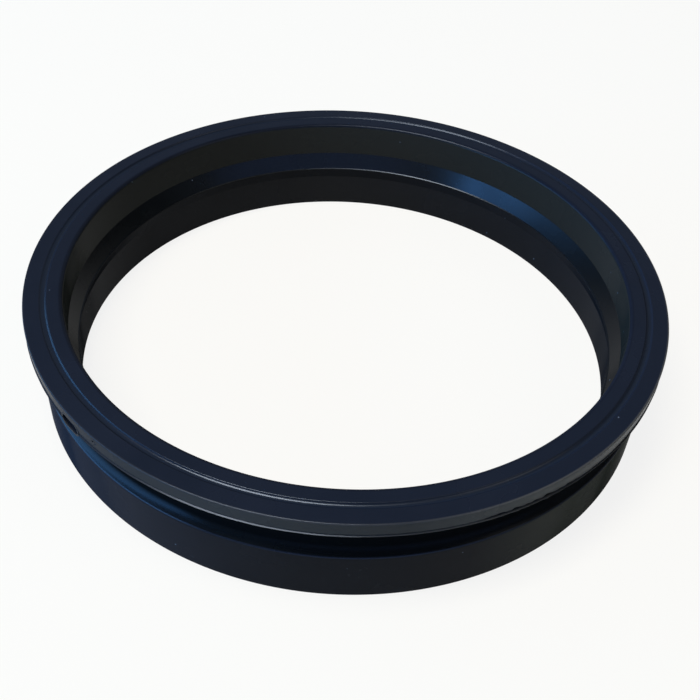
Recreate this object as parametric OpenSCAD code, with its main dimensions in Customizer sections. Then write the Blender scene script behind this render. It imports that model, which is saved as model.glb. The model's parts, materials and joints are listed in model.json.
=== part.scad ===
// Moulded rubber seal ring for a tank opening: a flat top rim, a hollow neck, a straight skirt and a bore
// that steps in over a conical ledge to a lip. The origin is on the ring's axis, at its foot.

/* [Bore] */
// Diameter of the bore at the rim
bore_d = 114.7; // [80:0.1:160]
// Height of the bore's straight wall, from the top face down to the conical ledge
bore_h = 7.85; // [5:0.05:10]
// Height of the conical ledge
ledge_h = 3.9; // [2:0.1:5]
// How far the lip at the ledge's lower edge stands inside the bore
lip_reach = 1.7; // [0.6:0.1:2.4]
// How far the lower bore steps back under the lip
lip_undercut = 0.7; // [0.2:0.05:1]
// Height of the slope under the lip
undercut_h = 2.4; // [1:0.1:3]

/* [Rim] */
// Height of the whole ring
ring_h = 22.15; // [20:0.05:30]
// Width of the rim's top face, from the bore to the outer edge
rim_w = 7.65; // [6.4:0.05:10]
// Height of the rim's outer wall
rim_h = 3.1; // [2.4:0.1:5]
// How far the rim's outer wall leans in at its lower edge
rim_lean = 0.1; // [0.05:0.05:0.6]

/* [Top groove] */
// Distance of the groove's middle from the rim's outer edge
groove_inset = 3.85; // [2.4:0.05:5]
// Width of the groove at the top face
groove_w = 1.3; // [0.8:0.1:2]
// Depth of the groove
groove_depth = 0.35; // [0.2:0.05:0.6]

/* [Neck and skirt] */
// Height of the skirt
skirt_h = 10.75; // [8:0.05:12]
// How far the skirt's wall stands in from the rim's outer edge
skirt_inset = 1.6; // [1:0.1:3]
// Depth of the hollow neck below the skirt's wall
neck_depth = 2.2; // [1:0.1:2.6]

/* [Mould mark] */
// Angle of the bare mould mark round the rim's wall
mark_angle = 223.7; // [0:0.1:360]
// Length of the mark along the rim
mark_w = 5; // [3:0.1:8]
// Height of the mark
mark_h = 0.9; // [0.6:0.1:1.2]
// Depth of the mark below the rim's outer edge
mark_depth = 0.5; // [0.3:0.05:0.8]
// Distance of the mark's lower side from the rim's lower edge
mark_gap = 0.15; // [0.1:0.05:0.4]

/* [Edges] */
// Radius of the rounded edge between the top face and the bore
bore_edge = 0.8; // [0.4:0.1:1.6]
// Radius of the rim's outer top edge
rim_edge = 0.25; // [0.1:0.05:0.6]
// Radius of the lip's edge
lip_edge = 0.3; // [0.1:0.1:0.6]
// Radius of the foot's two edges
foot_edge = 0.2; // [0.1:0.1:1]

/* [Hidden] */
$fn = 96;

// Radii of the section's walls, from the bore outwards and inwards
bore_r = bore_d / 2;
rim_r = bore_r + rim_w;
rim_low_r = rim_r - rim_lean;
groove_r = rim_r - groove_inset;
skirt_r = rim_r - skirt_inset;
lip_r = bore_r - lip_reach;
foot_bore_r = lip_r + lip_undercut;

// Heights of the section's corners above the foot
rim_z = ring_h - rim_h;
ledge_z = ring_h - bore_h;
lip_z = ledge_z - ledge_h;
undercut_z = lip_z - undercut_h;

// Corners of the section as [radius, height]
foot_in = [foot_bore_r, 0];
foot_out = [skirt_r, 0];
neck_head = [skirt_r, rim_z];
rim_low = [rim_low_r, rim_z];
rim_top = [rim_r, ring_h];
bore_top = [bore_r, ring_h];
ledge_top = [bore_r, ledge_z];
lip = [lip_r, lip_z];
undercut = [foot_bore_r, undercut_z];

function unit(v) = v / norm(v);

// Radius of the round cutter that leaves a hollow of a stated width and depth
function cutter_r(width, depth) = (pow(width / 2, 2) + pow(depth, 2)) / (2 * depth);

// Area between a corner and the arc of radius r that touches both of the corner's sides
module corner(before, at, after, r) {
    u = unit(before - at);
    v = unit(after - at);
    half_angle = acos(u * v) / 2;
    reach = r / tan(half_angle);
    centre = at + unit(u + v) * r / sin(half_angle);
    difference() {
        polygon([at, at + u * reach, centre, at + v * reach]);
        translate(centre) circle(r);
    }
}

// Straight-sided section of the ring, with the neck still full
module plain_section() {
    polygon([foot_in, foot_out, neck_head, rim_low, rim_top, bore_top, ledge_top, lip, undercut]);
}

// Round hollow between the skirt and the rim, up to the skirt's wall
module neck_hollow() {
    neck_h = rim_z - skirt_h;
    r = cutter_r(neck_h, neck_depth);
    difference() {
        translate([skirt_r - neck_depth + r, skirt_h + neck_h / 2]) circle(r);
        translate([skirt_r, skirt_h - r]) square([3 * r, neck_h + 2 * r]);
    }
}

// Corners that the mould leaves rounded
module edge_rounds() {
    corner(undercut, foot_in, foot_out, foot_edge);
    corner(foot_in, foot_out, neck_head, foot_edge);
    corner(rim_low, rim_top, bore_top, rim_edge);
    corner(rim_top, bore_top, ledge_top, bore_edge);
    corner(ledge_top, lip, undercut, lip_edge);
}

// Shallow round-bottomed groove in the top face
module top_groove() {
    r = cutter_r(groove_w, groove_depth);
    translate([groove_r, ring_h + r - groove_depth]) circle(r);
}

// Long mark with round ends, sunk into the rim's wall
module mould_mark() {
    end_y = (mark_w - mark_h) / 2;
    rotate([0, 0, mark_angle])
    translate([rim_r - mark_depth, 0, rim_z + mark_gap + mark_h / 2])
    rotate([0, 90, 0])
    linear_extrude(2 * mark_depth) {
        square([mark_h, 2 * end_y], center = true);
        translate([0, end_y]) circle(d = mark_h);
        translate([0, -end_y]) circle(d = mark_h);
    }
}

// The whole ring, turned from its section and marked
module seal_ring() {
    color([0.09, 0.1, 0.11])
    difference() {
        rotate_extrude($fn = 180)
        difference() {
            plain_section();
            neck_hollow();
            edge_rounds();
            top_groove();
        }
        mould_mark();
    }
}

seal_ring();
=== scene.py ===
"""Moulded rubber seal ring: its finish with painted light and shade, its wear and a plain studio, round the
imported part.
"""
import json
import math
from types import SimpleNamespace

import bpy
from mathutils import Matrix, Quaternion, Vector, noise


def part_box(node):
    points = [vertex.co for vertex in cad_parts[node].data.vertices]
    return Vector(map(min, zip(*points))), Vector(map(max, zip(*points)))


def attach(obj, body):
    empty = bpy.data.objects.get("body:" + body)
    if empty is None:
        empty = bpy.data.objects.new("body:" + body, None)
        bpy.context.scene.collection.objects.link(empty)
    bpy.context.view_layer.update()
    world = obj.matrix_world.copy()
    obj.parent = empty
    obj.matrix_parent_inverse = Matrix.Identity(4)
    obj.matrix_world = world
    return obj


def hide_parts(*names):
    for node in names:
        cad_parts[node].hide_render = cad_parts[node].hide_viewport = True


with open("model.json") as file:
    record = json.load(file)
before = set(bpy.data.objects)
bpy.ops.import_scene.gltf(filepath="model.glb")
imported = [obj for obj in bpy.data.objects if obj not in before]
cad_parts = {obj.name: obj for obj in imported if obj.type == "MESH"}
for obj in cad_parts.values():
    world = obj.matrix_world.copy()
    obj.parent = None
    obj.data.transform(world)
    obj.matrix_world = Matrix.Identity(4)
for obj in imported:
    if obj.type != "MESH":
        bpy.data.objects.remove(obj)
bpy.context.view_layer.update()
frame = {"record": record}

MM = 0.001

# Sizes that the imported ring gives
mounts = {mount["name"]: mount for mount in frame["record"]["mounts"]}


def wall_radius(mount_name):
    """Radius of a round wall of the ring, in metres."""
    return mounts[mount_name]["dims"]["r_mm"] * MM


RING_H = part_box("seal_ring")[1].z
BORE_R = wall_radius("pump_bore")
FOOT_BORE_R = wall_radius("lower_bore")
SKIRT_R = wall_radius("skirt")

# Section of the ring, as in the part's own drawing
SKIRT_INSET = 1.6 * MM
SKIRT_H = 10.75 * MM
NECK_DEPTH = 2.2 * MM
RIM_H = 3.1 * MM
RIM_LEAN = 0.1 * MM
BORE_H = 7.85 * MM
LEDGE_H = 3.9 * MM
LIP_UNDERCUT = 0.7 * MM
UNDERCUT_H = 2.4 * MM
GROOVE_INSET = 3.85 * MM
GROOVE_W = 1.3 * MM
GROOVE_DEPTH = 0.35 * MM

RIM_R = SKIRT_R + SKIRT_INSET
RIM_LOW_R = RIM_R - RIM_LEAN
LIP_R = FOOT_BORE_R - LIP_UNDERCUT
GROOVE_R = RIM_R - GROOVE_INSET
RIM_Z = RING_H - RIM_H
LEDGE_Z = RING_H - BORE_H
LIP_Z = LEDGE_Z - LEDGE_H
UNDERCUT_Z = LIP_Z - UNDERCUT_H

# Roundings of the section's corners
FOOT_ROUND = 0.2 * MM
SHOULDER_ROUND = 0.5 * MM
NECK_HEAD_ROUND = 0.3 * MM
RIM_ROUND = 0.25 * MM
GROOVE_OUT_ROUND = 0.1 * MM
GROOVE_IN_ROUND = 0.15 * MM
BORE_ROUND = 0.8 * MM
LEDGE_ROUND = 0.3 * MM
FIN_ROUND = 0.04 * MM
UNDERCUT_ROUND = 0.6 * MM

# Bare mould mark, sunk into a small pad that hangs from the rim's lower edge
MARK_ANGLE = math.radians(223.7)
MARK_W = 5.0 * MM
MARK_H = 2.2 * MM
MARK_DEPTH = 0.6 * MM
MARK_Z = 19.4 * MM
MARK_STEPS = 32
PAD_BORDER = 0.4 * MM
PAD_DEPTH = 2.0 * MM
PAD_RISE = 0.03 * MM

# Nick in the rim's wall
NICK_ANGLE = math.radians(230.4)
NICK_W = 1.3 * MM
NICK_H = 0.8 * MM
NICK_DEPTH = 0.5 * MM
NICK_Z = 20.9 * MM

# Thin fin of rubber that the mould's joint leaves round the rim's lower edge, with a crease above it
FLASH_REACH = 0.14 * MM
FLASH_H = 0.16 * MM
FLASH_DROP = 0.11 * MM
CREASE_DEPTH = 0.13 * MM
CREASE_H = 0.4 * MM

# Low raised line that the mould leaves along the groove's outer side
LINE_W = 0.3 * MM
LINE_RISE = 0.03 * MM

# Thin fin at the lip's edge, sloped like the flash
FIN_Z = 0.35 * MM
FIN_REACH = 0.2 * MM
FIN_DROP = 0.135 * MM
FIN_H = 0.16 * MM

# Steps of the lathe round the ring
TURN_STEPS = 900
# Steps along the round bottoms of the groove and of the neck
GROOVE_STEPS = 10
NECK_STEPS = 18
# Edges that bend by less than this are shaded smooth
SMOOTH_ANGLE = math.radians(29)
# Points closer than this are one point
SAME_POINT = 1e-6


def start_clean():
    """Leaves nothing selected, so that the next operator acts on its own piece only."""
    if bpy.context.object and bpy.context.object.mode != "OBJECT":
        bpy.ops.object.mode_set(mode="OBJECT")
    bpy.ops.object.select_all(action="DESELECT")


def select_points(piece, wanted):
    """Selects, in edit mode, the points of the piece whose place the test accepts."""
    bpy.ops.object.mode_set(mode="EDIT")
    bpy.ops.mesh.select_mode(type="VERT")
    bpy.ops.mesh.select_all(action="DESELECT")
    bpy.ops.object.mode_set(mode="OBJECT")
    for vertex in piece.data.vertices:
        vertex.select = wanted(vertex.co)
    bpy.ops.object.mode_set(mode="EDIT")


def hollow(start, end, depth, steps):
    """Points along a round hollow that is sunk into the section between two of its corners."""
    start, end = Vector(start), Vector(end)
    half = (end - start).length / 2
    along = (end - start).normalized()
    inwards = Vector((-along.y, along.x))
    radius = (half**2 + depth**2) / (2 * depth)
    centre = (start + end) / 2 + inwards * (depth - radius)
    sweep = math.asin(half / radius)
    angles = [sweep * (2 * step / steps - 1) for step in range(1, steps)]
    return [centre + radius * (math.sin(angle) * along + math.cos(angle) * inwards) for angle in angles]


def plain(points):
    """Corners without rounding at a row of points."""
    return [(point[0], point[1], 0, 0) for point in points]


def section_corners():
    """Corners of the section as (radius, height, rounding radius, rounding steps), in order."""
    neck_foot = (SKIRT_R, SKIRT_H)
    neck_head = (SKIRT_R, RIM_Z)
    groove_out = (GROOVE_R + GROOVE_W / 2, RING_H)
    groove_in = (GROOVE_R - GROOVE_W / 2, RING_H)
    flash_r = RIM_LOW_R + FLASH_REACH
    crease_r = RIM_LOW_R - CREASE_DEPTH
    flash_z = RIM_Z + FLASH_H
    fin_top = Vector((LIP_R, LIP_Z)).lerp(Vector((BORE_R, LEDGE_Z)), FIN_Z / LEDGE_H)
    fin_tip = fin_top - Vector((FIN_REACH, FIN_DROP))
    return [
        (FOOT_BORE_R, 0.0, FOOT_ROUND, 4),
        (SKIRT_R, 0.0, FOOT_ROUND, 4),
        (*neck_foot, SHOULDER_ROUND, 4),
        *plain(hollow(neck_foot, neck_head, NECK_DEPTH, NECK_STEPS)),
        (*neck_head, NECK_HEAD_ROUND, 3),
        (flash_r, RIM_Z, 0, 0),
        (flash_r, flash_z - FLASH_DROP, 0, 0),
        (crease_r, flash_z, 0, 0),
        (RIM_LOW_R, flash_z + CREASE_H, 0, 0),
        (RIM_R, RING_H, RIM_ROUND, 4),
        (groove_out[0] + LINE_W, RING_H, 0, 0),
        (groove_out[0] + LINE_W / 2, RING_H + LINE_RISE, 0, 0),
        (*groove_out, GROOVE_OUT_ROUND, 2),
        *plain(hollow(groove_out, groove_in, GROOVE_DEPTH, GROOVE_STEPS)),
        (*groove_in, GROOVE_IN_ROUND, 3),
        (BORE_R, RING_H, BORE_ROUND, 6),
        (BORE_R, LEDGE_Z, LEDGE_ROUND, 3),
        (*fin_top, 0, 0),
        (*fin_tip, FIN_ROUND, 2),
        (fin_tip[0], fin_tip[1] - FIN_H, FIN_ROUND, 2),
        (FOOT_BORE_R, UNDERCUT_Z, UNDERCUT_ROUND, 3),
    ]


def draw_section(corners):
    """Draws the closed section with its sharp corners, by pulling one point from corner to corner."""
    start_clean()
    first = corners[0]
    bpy.ops.mesh.primitive_plane_add(size=MM, location=(first[0], 0, first[1]))
    section = bpy.context.object
    bpy.ops.object.transform_apply(location=True, rotation=False, scale=False)
    bpy.ops.object.mode_set(mode="EDIT")
    bpy.ops.mesh.merge(type="CENTER")
    for here, there in zip(corners, corners[1:]):
        pull = (there[0] - here[0], 0, there[1] - here[1])
        bpy.ops.mesh.extrude_region_move(TRANSFORM_OT_translate={"value": pull})
    ends = [Vector((corner[0], 0, corner[1])) for corner in (corners[0], corners[-1])]
    select_points(section, lambda place: any((place - end).length < SAME_POINT for end in ends))
    bpy.ops.mesh.edge_face_add()
    bpy.ops.object.mode_set(mode="OBJECT")
    return section


def round_corners(section, corners):
    """Rounds each corner of the section by its own radius."""
    for before, corner, after in zip(corners[-1:] + corners, corners, corners[1:] + corners[:1]):
        radius, steps = corner[2:]
        if not steps:
            continue
        place = Vector((corner[0], 0, corner[1]))
        back = Vector((before[0], 0, before[1])) - place
        on = Vector((after[0], 0, after[1])) - place
        reach = radius / math.tan(back.angle(on) / 2)
        select_points(section, lambda point, place=place: (point - place).length < SAME_POINT)
        bpy.ops.mesh.bevel(
            offset_type="OFFSET", offset=reach, segments=steps, profile=0.5,
            affect="VERTICES", clamp_overlap=False,
        )
        bpy.ops.object.mode_set(mode="OBJECT")


def turn_section(section):
    """Turns the section into the ring, as on a lathe."""
    lathe = section.modifiers.new("lathe", "SCREW")
    lathe.axis = "Z"
    lathe.angle = 2 * math.pi
    lathe.steps = TURN_STEPS
    lathe.render_steps = TURN_STEPS
    lathe.use_merge_vertices = True
    lathe.merge_threshold = SAME_POINT
    bpy.ops.object.modifier_apply(modifier=lathe.name)
    bpy.ops.object.mode_set(mode="EDIT")
    bpy.ops.mesh.select_all(action="SELECT")
    bpy.ops.mesh.normals_make_consistent(inside=False)
    bpy.ops.object.mode_set(mode="OBJECT")


# Where the flash is torn, as angles round the ring from +X
TORN_FROM = math.radians(292)
TORN_TO = math.radians(310)
TORN_FADE = math.radians(3)
# Spacing of the flash's small waves and of its tears
WAVE_SIZE = 3.0 * MM
TEAR_SIZE = 1.4 * MM
# How far the tear reaches up the rim's wall, and how much of the noise it takes in
TEAR_RISE = 0.55 * MM
TEAR_START = 0.35
# Shares of the flash's own size by which waves and tears move its edge
WAVE_OUT = 0.3
TEAR_OUT = 0.8
TORN_OUT = 0.3
TEAR_LIFT = 0.5
# How much deeper the crease is where the flash is torn
TORN_CREASE = 1.5


def torn_share(angle):
    """How torn the flash is at an angle round the ring, from 0 to 1."""
    into = (angle - TORN_FROM) / TORN_FADE
    out = (TORN_TO - angle) / TORN_FADE
    return max(0.0, min(1.0, into, out))


def wear_flash(ring):
    """Makes the flash uneven all round, and ragged where it is torn."""
    crease_r = RIM_LOW_R - CREASE_DEPTH
    flash_z = RIM_Z + FLASH_H
    for vertex in ring.data.vertices:
        place = vertex.co
        if not RIM_Z - SAME_POINT < place.z < flash_z + CREASE_H + SAME_POINT:
            continue
        radius = math.hypot(place.x, place.y)
        if radius < crease_r - SAME_POINT:
            continue
        torn = torn_share(math.atan2(place.y, place.x) % (2 * math.pi))
        wave = noise.noise(place / WAVE_SIZE)
        tear = noise.noise(place / TEAR_SIZE)
        push = 0.0
        lift = 0.0
        if radius > RIM_LOW_R + SAME_POINT:
            push = FLASH_REACH * (WAVE_OUT * wave + torn * (TEAR_OUT * tear + TORN_OUT))
            lift = FLASH_H * torn * TEAR_LIFT * tear
        elif abs(radius - crease_r) < SAME_POINT:
            push = -CREASE_DEPTH * torn * (TORN_CREASE + tear)
        else:
            lift = TEAR_RISE * torn * max(0.0, TEAR_START + tear)
        vertex.co.x += push * place.x / radius
        vertex.co.y += push * place.y / radius
        vertex.co.z += lift


def make_mark_block(border, inner_r, outer_r):
    """A long block with round ends, as large as the mould mark and a border, between two radii."""
    start_clean()
    bpy.ops.mesh.primitive_circle_add(vertices=MARK_STEPS, radius=MARK_H / 2 + border, fill_type="NGON")
    block = bpy.context.object
    stretch = (MARK_W - MARK_H) / 2
    for side in (-1, 1):
        select_points(block, lambda place, side=side: place.x * side > SAME_POINT)
        bpy.ops.transform.translate(value=(side * stretch, 0, 0))
    bpy.ops.mesh.select_all(action="SELECT")
    bpy.ops.mesh.extrude_region_move(TRANSFORM_OT_translate={"value": (0, 0, outer_r - inner_r)})
    bpy.ops.mesh.select_all(action="SELECT")
    bpy.ops.mesh.normals_make_consistent(inside=False)
    bpy.ops.object.mode_set(mode="OBJECT")
    away = Vector((math.cos(MARK_ANGLE), math.sin(MARK_ANGLE), 0))
    block.location = away * inner_r
    block.location.z = MARK_Z
    block.rotation_mode = "QUATERNION"
    block.rotation_quaternion = away.to_track_quat("Z", "Y")
    return block


def make_nick_cutter():
    """A thin sliver, where something cut the rim's wall."""
    start_clean()
    bpy.ops.mesh.primitive_ico_sphere_add(subdivisions=2, radius=1)
    cutter = bpy.context.object
    cutter.scale = (NICK_DEPTH, NICK_W / 2, NICK_H / 2)
    cutter.rotation_euler = (0, 0, NICK_ANGLE)
    cutter.location = (RIM_R * math.cos(NICK_ANGLE), RIM_R * math.sin(NICK_ANGLE), NICK_Z)
    return cutter


def combine(ring, block, operation):
    """Adds a block to the ring or cuts it out, and takes the block away."""
    start_clean()
    bpy.context.view_layer.objects.active = ring
    ring.select_set(True)
    step = ring.modifiers.new("step", "BOOLEAN")
    step.operation = operation
    step.solver = "EXACT"
    step.object = block
    bpy.ops.object.modifier_apply(modifier=step.name)
    start_clean()
    block.select_set(True)
    bpy.ops.object.delete()


def smooth_faces(ring):
    """Shades the rounded edges smooth and keeps the broad faces flat."""
    start_clean()
    bpy.context.view_layer.objects.active = ring
    ring.select_set(True)
    bpy.ops.object.shade_smooth_by_angle(angle=SMOOTH_ANGLE)
    even = ring.modifiers.new("even", "WEIGHTED_NORMAL")
    even.mode = "FACE_AREA"
    even.keep_sharp = True
    bpy.ops.object.modifier_apply(modifier=even.name)


def make_ring():
    """The whole moulding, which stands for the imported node."""
    corners = section_corners()
    ring = draw_section(corners)
    round_corners(ring, corners)
    turn_section(ring)
    wear_flash(ring)
    combine(ring, make_mark_block(PAD_BORDER, RIM_LOW_R - PAD_DEPTH, RIM_LOW_R + PAD_RISE), "UNION")
    combine(ring, make_mark_block(0, RIM_R - MARK_DEPTH, RIM_R + MARK_DEPTH), "DIFFERENCE")
    combine(ring, make_nick_cutter(), "DIFFERENCE")
    smooth_faces(ring)
    ring.name = "moulded_ring"
    ring.data.name = "moulded_ring"
    ring.data.materials.clear()
    ring.data.materials.append(rubber_finish())
    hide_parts("seal_ring")
    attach(ring, "root")
    return ring


def new_material(name):
    """An empty node material and its tree."""
    material = bpy.data.materials.new(name)
    material.use_nodes = True
    material.node_tree.nodes.clear()
    return material, material.node_tree


def set_inputs(tree, node, values):
    """Sets a node's inputs, each to another node's output or to a constant."""
    for name, value in values.items():
        if isinstance(value, bpy.types.NodeSocket):
            tree.links.new(value, node.inputs[name])
        else:
            node.inputs[name].default_value = value


def show_shader(tree, shader):
    """Makes a shader the surface of its material."""
    output = tree.nodes.new("ShaderNodeOutputMaterial")
    set_inputs(tree, output, {"Surface": shader})


def calculate(tree, operation, *values):
    """The result of one sum or test, such as SUBTRACT or LESS_THAN."""
    node = tree.nodes.new("ShaderNodeMath")
    node.operation = operation
    set_inputs(tree, node, dict(enumerate(values)))
    return node.outputs["Value"]


def multiply(tree, *shares):
    """The product of two or more shares."""
    product = shares[0]
    for share in shares[1:]:
        product = calculate(tree, "MULTIPLY", product, share)
    return product


def distance(tree, point):
    """How far a point is from the origin."""
    node = tree.nodes.new("ShaderNodeVectorMath")
    node.operation = "LENGTH"
    set_inputs(tree, node, {0: point})
    return node.outputs["Value"]


def remap(tree, value, start, end, at_start, at_end, curve="LINEAR"):
    """Runs from one number to another while its source runs from start to end, and stays there beyond."""
    node = tree.nodes.new("ShaderNodeMapRange")
    node.interpolation_type = curve
    set_inputs(tree, node, {
        "Value": value, "From Min": start, "From Max": end, "To Min": at_start, "To Max": at_end,
    })
    return node.outputs["Result"]


def switch(tree, share, without, inside):
    """One number outside a zone of the ring and another inside it."""
    return remap(tree, share, 0.0, 1.0, without, inside)


def ramp(tree, value, stops):
    """A colour that runs through stops of place and colour."""
    node = tree.nodes.new("ShaderNodeValToRGB")
    set_inputs(tree, node, {"Fac": value})
    elements = node.color_ramp.elements
    elements[0].position = stops[0][0]
    elements[0].color = (*stops[0][1], 1)
    elements[1].position = stops[-1][0]
    elements[1].color = (*stops[-1][1], 1)
    for place, colour in stops[1:-1]:
        elements.new(place).color = (*colour, 1)
    return node.outputs["Color"]


def lay_over(tree, under, colour, share, blend="MIX"):
    """A colour that covers a share of what is under it."""
    node = tree.nodes.new("ShaderNodeMix")
    node.data_type = "RGBA"
    node.blend_type = blend
    set_inputs(tree, node, {"Factor": share, "A": under, "B": (*colour, 1)})
    return node.outputs["Result"]


def cloud(tree, point, scale, detail):
    """Soft noise from about 0.3 to 0.7."""
    node = tree.nodes.new("ShaderNodeTexNoise")
    set_inputs(tree, node, {"Vector": point, "Scale": scale, "Detail": detail})
    return node.outputs["Fac"]


# Widths of the zones that the finish is divided into
WALL_FADE_FROM = 0.3 * MM
WALL_FADE_TO = 0.05 * MM
NECK_BAND = 2.0 * MM
ZONE_SLACK = 0.1 * MM
EDGE_INSET = 0.45 * MM
EDGE_BAND = 0.4 * MM
# Upward slopes, as the normal's height, from which a face counts as looking up
UP_FROM = 0.2
UP_TO = 0.38
# Places along X between which the ring's left and right ends fade in
LEFT_END = -48 * MM
LEFT_START = -8 * MM
RIGHT_START = 24 * MM
RIGHT_END = 42 * MM


def find_places(tree):
    """Where a point of the ring lies: its place, its slope, and a share from 0 to 1 for each zone."""
    coords = tree.nodes.new("ShaderNodeTexCoord")
    sides = tree.nodes.new("ShaderNodeSeparateXYZ")
    facing = tree.nodes.new("ShaderNodeSeparateXYZ")
    flat = tree.nodes.new("ShaderNodeVectorMath")
    flat.operation = "MULTIPLY"
    set_inputs(tree, sides, {"Vector": coords.outputs["Object"]})
    set_inputs(tree, facing, {"Vector": coords.outputs["Normal"]})
    set_inputs(tree, flat, {0: coords.outputs["Object"], 1: (1, 1, 0)})

    at = SimpleNamespace()
    at.point = coords.outputs["Object"]
    at.x = sides.outputs["X"]
    at.z = sides.outputs["Z"]
    at.up = facing.outputs["Z"]
    at.radius = distance(tree, flat.outputs["Vector"])
    at.looks_up = remap(tree, at.up, UP_FROM, UP_TO, 0.0, 1.0)
    at.left = remap(tree, at.x, LEFT_END, LEFT_START, 1.0, 0.0)
    at.right = remap(tree, at.x, RIGHT_START, RIGHT_END, 0.0, 1.0)

    # Outside
    at.rim_wall = remap(tree, at.radius, RIM_LOW_R - WALL_FADE_FROM, RIM_LOW_R - WALL_FADE_TO, 0.0, 1.0)
    at.neck_band = calculate(tree, "COMPARE", at.radius, GROOVE_R, NECK_BAND)
    at.neck = multiply(tree, at.neck_band, calculate(tree, "LESS_THAN", at.z, RIM_Z))
    outside = calculate(tree, "GREATER_THAN", at.radius, SKIRT_R - ZONE_SLACK)
    at.skirt = multiply(tree, outside, calculate(tree, "LESS_THAN", at.z, SKIRT_H))

    # Top
    groove_band = calculate(tree, "COMPARE", at.radius, GROOVE_R, GROOVE_W / 2)
    at.groove = multiply(tree, groove_band, calculate(tree, "GREATER_THAN", at.z, RIM_Z))
    at.bore_edge = calculate(tree, "COMPARE", at.radius, BORE_R + EDGE_INSET, EDGE_BAND)

    # Inside
    inside = calculate(tree, "LESS_THAN", at.radius, BORE_R + ZONE_SLACK)
    ledge_band = calculate(tree, "COMPARE", at.z, (LIP_Z + LEDGE_Z) / 2, LEDGE_H / 2)
    at.ledge = multiply(tree, inside, ledge_band)
    at.bore_wall = multiply(tree, inside, calculate(tree, "GREATER_THAN", at.z, LEDGE_Z))
    return at


# Gloss by how far the surface turns away from the eye, from face on to edge on
GLOSS_FADE = ((0.0, 0.4), (0.2, 0.15), (0.42, 0.055), (0.62, 0.026), (0.7, 0.006), (0.82, 0.0003))
EVEN_TILT = 0.5
# Gloss of each zone against that
TOP_GLOSS = 2.25
FLASH_GLOSS = 1.23
WALL_GLOSS = 0.42
NECK_GLOSS = 0.05
UNDER_GLOSS = 0.45
EDGE_GLOSS = 0.4
FILM_GLOSS = 0.010
# Slopes, as the normal's height, between which gloss rises from a wall's to the top's
WALL_SLOPE = 0.2
NECK_SLOPE = 0.5
TOP_SLOPE = 0.95
# Slopes between which an underside's gloss rises to a wall's
UNDER_SLOPE = -0.3
UPRIGHT_SLOPE = -0.1
# The neck's sheen dies away towards the right, between these places along X
NECK_SHEEN_START = -35 * MM
NECK_SHEEN_END = 5 * MM
NECK_SHEEN_LEAST = 0.4


def rubber_gloss(tree, at):
    """Gloss of the rubber: most on the faces that look up, less on walls, least in the neck."""
    tilt = tree.nodes.new("ShaderNodeLayerWeight")
    set_inputs(tree, tilt, {"Blend": EVEN_TILT})
    fade = ramp(tree, tilt.outputs["Facing"], [(place, (level,) * 3) for place, level in GLOSS_FADE])
    wall = switch(tree, at.neck_band, WALL_GLOSS, NECK_GLOSS)
    top = switch(tree, at.rim_wall, TOP_GLOSS, FLASH_GLOSS)
    slope = switch(tree, at.neck_band, WALL_SLOPE, NECK_SLOPE)
    face = remap(tree, at.up, slope, TOP_SLOPE, wall, top)
    under = remap(tree, at.up, UNDER_SLOPE, UPRIGHT_SLOPE, UNDER_GLOSS, 1.0)
    edge = switch(tree, at.bore_edge, 1.0, EDGE_GLOSS)
    sheen = remap(tree, at.x, NECK_SHEEN_START, NECK_SHEEN_END, 1.0, NECK_SHEEN_LEAST)
    neck = switch(tree, at.neck, 1.0, sheen)
    gloss = multiply(tree, fade, face, under, edge, neck)
    film = multiply(tree, at.rim_wall, FILM_GLOSS)
    return calculate(tree, "MAXIMUM", gloss, film)


# Colours of the rubber with blue sky light painted in as navy where it looks up, and the share of them that
# its walls keep, so that walls are painted less blue
SKYLIT_RUBBER_DARK = (0.0068, 0.0096, 0.0180)
SKYLIT_RUBBER_PALE = (0.0085, 0.0118, 0.0222)
WALL_SKYLIGHT_SHARE = (1.0, 0.86, 0.65)
# Colours laid on the rubber: dust and painted reflection on the rim's wall, dust on the bore, painted blue
# window light and painted warm light with dust on the skirt, painted shade in the neck and on the ledge, a
# painted blue reflection in the groove, and dust specks
DUST_AND_REFLECTION = (0.068, 0.075, 0.083)
BORE_DUST = (0.0122, 0.0146, 0.0150)
SKIRT_LEFT_WINDOW_LIGHT = (0.0090, 0.0135, 0.0240)
SKIRT_RIGHT_LIGHT_AND_DUST = (0.0205, 0.0250, 0.0222)
NECK_AND_LEDGE_SHADE = (0.0036, 0.0047, 0.0060)
GROOVE_SKY_REFLECTION = (0.0092, 0.0145, 0.0282)
SPECK = (0.128, 0.174, 0.258)
# Tint of the sheen on walls and on the faces that look up; the blue on faces that look up is a painted tint
# that stands in for blue sky light in their reflections
WHITE = (1.0, 1.0, 1.0)
SKYLIGHT_TINT = (0.57, 0.73, 1.0)

# Clouds in the rubber's tone and roughness
CLOUD_SCALE = 70
CLOUD_DETAIL = 5
CLOUD_LOW = 0.3
CLOUD_HIGH = 0.7
ROUGH_LOW = 0.22
ROUGH_HIGH = 0.3

# Dust and painted reflection on the rim's wall, brighter on the right: places along X between which it
# grows, and its shares there
DUST_REFLECTION_THIN_X = -50 * MM
DUST_REFLECTION_EVEN_X = -20 * MM
DUST_REFLECTION_THIN = 0.35
DUST_REFLECTION_THICKENS_X = 12 * MM
DUST_REFLECTION_THICK_X = 34 * MM
DUST_REFLECTION_SHARE = 0.42
# Heights between which painted shade darkens the low part of the wall's right, and how much of the painted
# reflection it takes away there
LOW_SHADE_FULL_Z = 20.0 * MM
LOW_SHADE_END_Z = 20.7 * MM
LOW_WALL_SHADE = 0.45

# Specks: cells for each metre, the spot's edge within a cell, and the cells that stay without one
SPECK_CELLS = 260
SPOT_FULL = 0.02
SPOT_END = 0.05
BARE_CELLS = 0.7


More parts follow.
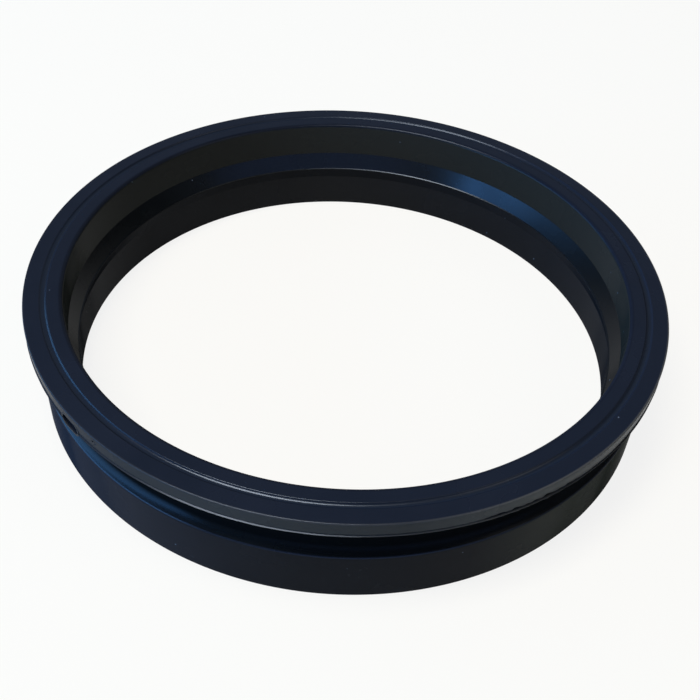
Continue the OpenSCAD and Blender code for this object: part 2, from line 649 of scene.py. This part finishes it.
def dust_and_reflection_share(tree, at):
    """How much of the rim's wall gets dust and painted reflection: most on the right, but less low down
    there, where painted shade lies.
    """
    thick = remap(tree, at.x, DUST_REFLECTION_THICKENS_X, DUST_REFLECTION_THICK_X, DUST_REFLECTION_SHARE, 1.0)
    thin = remap(tree, at.x, DUST_REFLECTION_THIN_X, DUST_REFLECTION_EVEN_X, DUST_REFLECTION_THIN, 1.0)
    # Painted shade: low on the wall's right, part of the painted reflection is taken away
    low = remap(tree, at.z, LOW_SHADE_FULL_Z, LOW_SHADE_END_Z, LOW_WALL_SHADE, 0.0)
    whole = calculate(tree, "SUBTRACT", 1.0, multiply(tree, at.right, low))
    return multiply(tree, at.rim_wall, thick, thin, whole)


def speck_share(tree, at):
    """Scattered specks of dust, each in the middle of a cell."""
    cells = tree.nodes.new("ShaderNodeTexVoronoi")
    chance = tree.nodes.new("ShaderNodeSeparateColor")
    set_inputs(tree, cells, {"Vector": at.point, "Scale": SPECK_CELLS})
    set_inputs(tree, chance, {"Color": cells.outputs["Color"]})
    spot = remap(tree, cells.outputs["Distance"], SPOT_FULL, SPOT_END, 1.0, 0.0)
    return multiply(tree, spot, calculate(tree, "GREATER_THAN", chance.outputs["Red"], BARE_CELLS))


def rubber_colour(tree, at, clouds):
    """Cloudy black rubber with navy sky light painted on where it looks up, and painted reflection, painted
    light, painted shade, dust and specks laid over in order.
    """
    # Navy sky light is painted on the faces that look up; walls keep less of its blue
    colour = ramp(tree, clouds, [(CLOUD_LOW, SKYLIT_RUBBER_DARK), (CLOUD_HIGH, SKYLIT_RUBBER_PALE)])
    walls = calculate(tree, "SUBTRACT", 1.0, at.looks_up)
    colour = lay_over(tree, colour, WALL_SKYLIGHT_SHARE, walls, "MULTIPLY")
    coats = (
        # Dust and painted reflection on the rim's wall, with painted shade low on its right
        (DUST_AND_REFLECTION, dust_and_reflection_share(tree, at)),
        (BORE_DUST, at.bore_wall),
        # Painted blue window light on the left of the skirt
        (SKIRT_LEFT_WINDOW_LIGHT, multiply(tree, at.skirt, at.left)),
        # Painted warm light and dust on the right of the skirt
        (SKIRT_RIGHT_LIGHT_AND_DUST, multiply(tree, at.skirt, at.right)),
        # Painted shade in the neck under the rim and on the ledge inside the bore
        (NECK_AND_LEDGE_SHADE, calculate(tree, "MAXIMUM", at.neck, at.ledge)),
        # Painted blue reflection in the groove
        (GROOVE_SKY_REFLECTION, at.groove),
        (SPECK, speck_share(tree, at)),
    )
    for coat, share in coats:
        colour = lay_over(tree, colour, coat, share)
    return colour


# Fine grain of the mould
GRAIN_SCALE = 2600
GRAIN_DETAIL = 3
GRAIN_STRENGTH = 0.25
GRAIN_DEPTH = 0.02 * MM


def rubber_grain(tree, at):
    """The surface's slopes with its fine grain."""
    relief = tree.nodes.new("ShaderNodeBump")
    set_inputs(tree, relief, {
        "Height": cloud(tree, at.point, GRAIN_SCALE, GRAIN_DETAIL),
        "Strength": GRAIN_STRENGTH,
        "Distance": GRAIN_DEPTH,
    })
    return relief.outputs["Normal"]


def rubber_finish():
    """Black moulded rubber: navy sky light painted on top, dust and painted reflection on the rim's wall,
    painted blue window light on the skirt's left and painted warm light with dust on its right, painted
    shade in the neck and on the ledge, a painted blue reflection in the groove, dust and specks, and a sheen
    tinted blue for sky light where it looks up.
    """
    material, tree = new_material("black_rubber")
    at = find_places(tree)
    clouds = cloud(tree, at.point, CLOUD_SCALE, CLOUD_DETAIL)
    shader = tree.nodes.new("ShaderNodeBsdfPrincipled")
    set_inputs(tree, shader, {
        "Base Color": rubber_colour(tree, at, clouds),
        "Roughness": remap(tree, clouds, CLOUD_LOW, CLOUD_HIGH, ROUGH_LOW, ROUGH_HIGH),
        "Specular IOR Level": rubber_gloss(tree, at),
        # Reflections of the faces that look up are tinted blue, a painted tint that stands in for blue sky
        # light
        "Specular Tint": lay_over(tree, (*WHITE, 1), SKYLIGHT_TINT, at.looks_up),
        "Normal": rubber_grain(tree, at),
    })
    show_shader(tree, shader.outputs["BSDF"])
    return material


# Floor: its paper's colour, the share that shows white, and the distances over which that dims
PAPER = (0.80, 0.84, 0.74)
WHITE_SHARE = 0.85
WHITE_TO = 0.25
DIM_FROM = 0.9
DIM_LEVEL = 0.35
FLOOR_R = 3.0
FLOOR_STEPS = 96
BACKDROP_H = 1.1
# Gap under the ring's foot, so that the foot and the floor don't share a plane
FLOOR_GAP = 0.05 * MM


def studio_finish():
    """Pale paper that shows white to the eye and to gloss, and keeps the ring's shadow."""
    material, tree = new_material("studio_white")
    coords = tree.nodes.new("ShaderNodeTexCoord")
    from_middle = distance(tree, coords.outputs["Object"])
    paper = tree.nodes.new("ShaderNodeBsdfDiffuse")
    set_inputs(tree, paper, {"Color": (*PAPER, 1)})
    white = tree.nodes.new("ShaderNodeEmission")
    dimmed = remap(tree, from_middle, WHITE_TO, DIM_FROM, 1.0, DIM_LEVEL, "SMOOTHSTEP")
    set_inputs(tree, white, {"Color": dimmed, "Strength": 1.0})
    path = tree.nodes.new("ShaderNodeLightPath")
    seen = calculate(tree, "MAXIMUM", path.outputs["Is Camera Ray"], path.outputs["Is Glossy Ray"])
    seen = calculate(tree, "MAXIMUM", seen, path.outputs["Is Transmission Ray"])
    mix = tree.nodes.new("ShaderNodeMixShader")
    set_inputs(tree, mix, {
        "Fac": multiply(tree, seen, WHITE_SHARE), 1: paper.outputs["BSDF"], 2: white.outputs["Emission"],
    })
    show_shader(tree, mix.outputs["Shader"])
    return material


def make_studio():
    """A pale floor with a low pale wall round it."""
    start_clean()
    bpy.ops.mesh.primitive_circle_add(
        vertices=FLOOR_STEPS, radius=FLOOR_R, fill_type="NGON", location=(0, 0, -FLOOR_GAP),
    )
    floor = bpy.context.object
    floor.name = "floor"
    bpy.ops.object.mode_set(mode="EDIT")
    bpy.ops.mesh.select_mode(type="FACE")
    bpy.ops.mesh.select_all(action="SELECT")
    bpy.ops.mesh.region_to_loop()
    bpy.ops.mesh.extrude_edges_move(TRANSFORM_OT_translate={"value": (0, 0, BACKDROP_H)})
    bpy.ops.object.mode_set(mode="OBJECT")
    floor.data.materials.append(studio_finish())


# Light of the room, and soft lamps by name, place, size, power and colour
ROOM_LIGHT = (0.038, 0.037, 0.037)
LAMPS = (
    ("overhead", (-0.26, -0.15, 0.95), (0.3, 0.6), 8.5, (1.0, 0.89, 0.76)),
    ("window", (-0.955, -0.08, 0.21), (1.55, 0.4), 16.0, (0.19, 0.53, 1.0)),
    ("sky", (-0.12, 1.0, 0.66), (2.0, 1.2), 3.0, (0.5, 0.68, 1.0)),
    ("front", (0.3, -0.95, 0.22), (1.9, 0.3), 1.05, (0.2, 0.4, 1.0)),
    ("fill", (0.8, -0.3, 0.85), (0.6, 0.6), 1.4, (1.0, 0.8, 0.6)),
)


def make_lamp(name, place, size, power, colour):
    """A soft panel lamp that faces the ring."""
    lamp = bpy.data.lights.new(name, "AREA")
    lamp.shape = "RECTANGLE"
    lamp.size, lamp.size_y = size
    lamp.energy = power
    lamp.color = colour
    stand = bpy.data.objects.new(name, lamp)
    bpy.context.scene.collection.objects.link(stand)
    stand.location = place
    stand.rotation_mode = "QUATERNION"
    stand.rotation_quaternion = (-Vector(place)).to_track_quat("-Z", "Y")


def make_light():
    """A warm lamp above and a warm fill, with cool panels at the left, the back and the front to reflect."""
    world = bpy.data.worlds.new("room")
    world.use_nodes = True
    room = world.node_tree.nodes["Background"]
    set_inputs(world.node_tree, room, {"Color": (*ROOM_LIGHT, 1), "Strength": 1.0})
    bpy.context.scene.world = world
    for lamp in LAMPS:
        make_lamp(*lamp)


# Camera that took the photograph, from a fit to the ring's edges
IMAGE_SIDE = 700
SENSOR = 36.0
FOCAL_PIXELS = 985.2
CAMERA_DISTANCE = 3.357 * RIM_R
CAMERA_ELEVATION = math.radians(42.829)
CAMERA_ROLL = math.radians(3.497)
AXIS_FOOT_PIXEL = (343.72, 347.75)
NEAREST_SEEN = 0.01


def make_camera():
    """The camera looks at the foot of the ring's axis, which lies a little off the picture's middle."""
    lens = bpy.data.cameras.new("camera")
    lens.sensor_width = SENSOR
    lens.lens = SENSOR * FOCAL_PIXELS / IMAGE_SIDE
    middle = IMAGE_SIDE / 2
    lens.shift_x = (middle - AXIS_FOOT_PIXEL[0]) / IMAGE_SIDE
    lens.shift_y = (AXIS_FOOT_PIXEL[1] - middle) / IMAGE_SIDE
    lens.clip_start = NEAREST_SEEN
    camera = bpy.data.objects.new("camera", lens)
    bpy.context.scene.collection.objects.link(camera)
    away = Vector((0, -math.cos(CAMERA_ELEVATION), math.sin(CAMERA_ELEVATION)))
    camera.location = away * CAMERA_DISTANCE
    camera.rotation_mode = "QUATERNION"
    level = (-away).to_track_quat("-Z", "Y")
    camera.rotation_quaternion = level @ Quaternion((0, 0, 1), CAMERA_ROLL)
    bpy.context.scene.camera = camera


make_camera()
make_ring()
make_studio()
make_light()
bpy.context.scene.view_settings.view_transform = "Standard"
